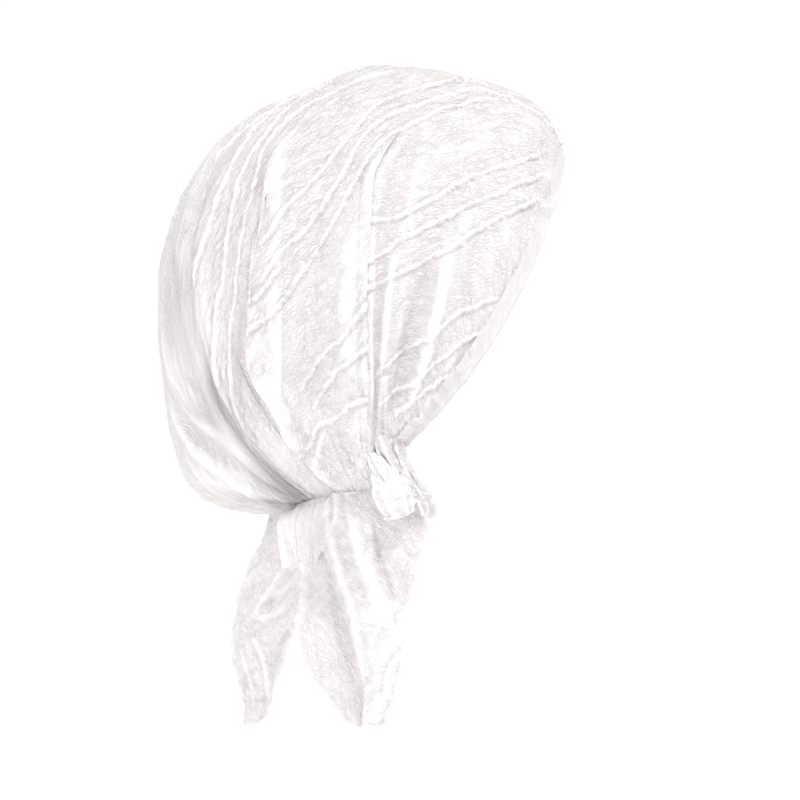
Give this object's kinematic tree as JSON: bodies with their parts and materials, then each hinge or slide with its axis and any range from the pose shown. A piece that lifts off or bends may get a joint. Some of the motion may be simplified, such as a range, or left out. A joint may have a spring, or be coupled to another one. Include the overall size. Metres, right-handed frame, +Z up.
{
  "type": "pre-tied turban hat",
  "caption": "Crinkled white cotton pre-tied turban hat, its pleats gathered round the nape, with a knot on the right side and two tails hanging below it.",
  "frame": {"origin": "the seat: the point inside the top of the crown where the wearer's head bears on the cloth, in the middle plane of the crown", "axes": "+Z up, -Y towards the front hem over the forehead, +X towards the wearer's left; the knot is on the wearer's right, at -X"},
  "size_m": [0.1806, 0.2398, 0.3904],
  "materials": {
    "cotton": "matte crinkled cotton with raised cord stripes"
  },
  "bodies": {
    "root": {"crown": "cotton", "front_strap": "cotton", "knot_wrap": "cotton", "nape_tie": "cotton", "nape_flap": "cotton", "side_tail": "cotton", "back_tail": "cotton"}
  },
  "joints": []
}
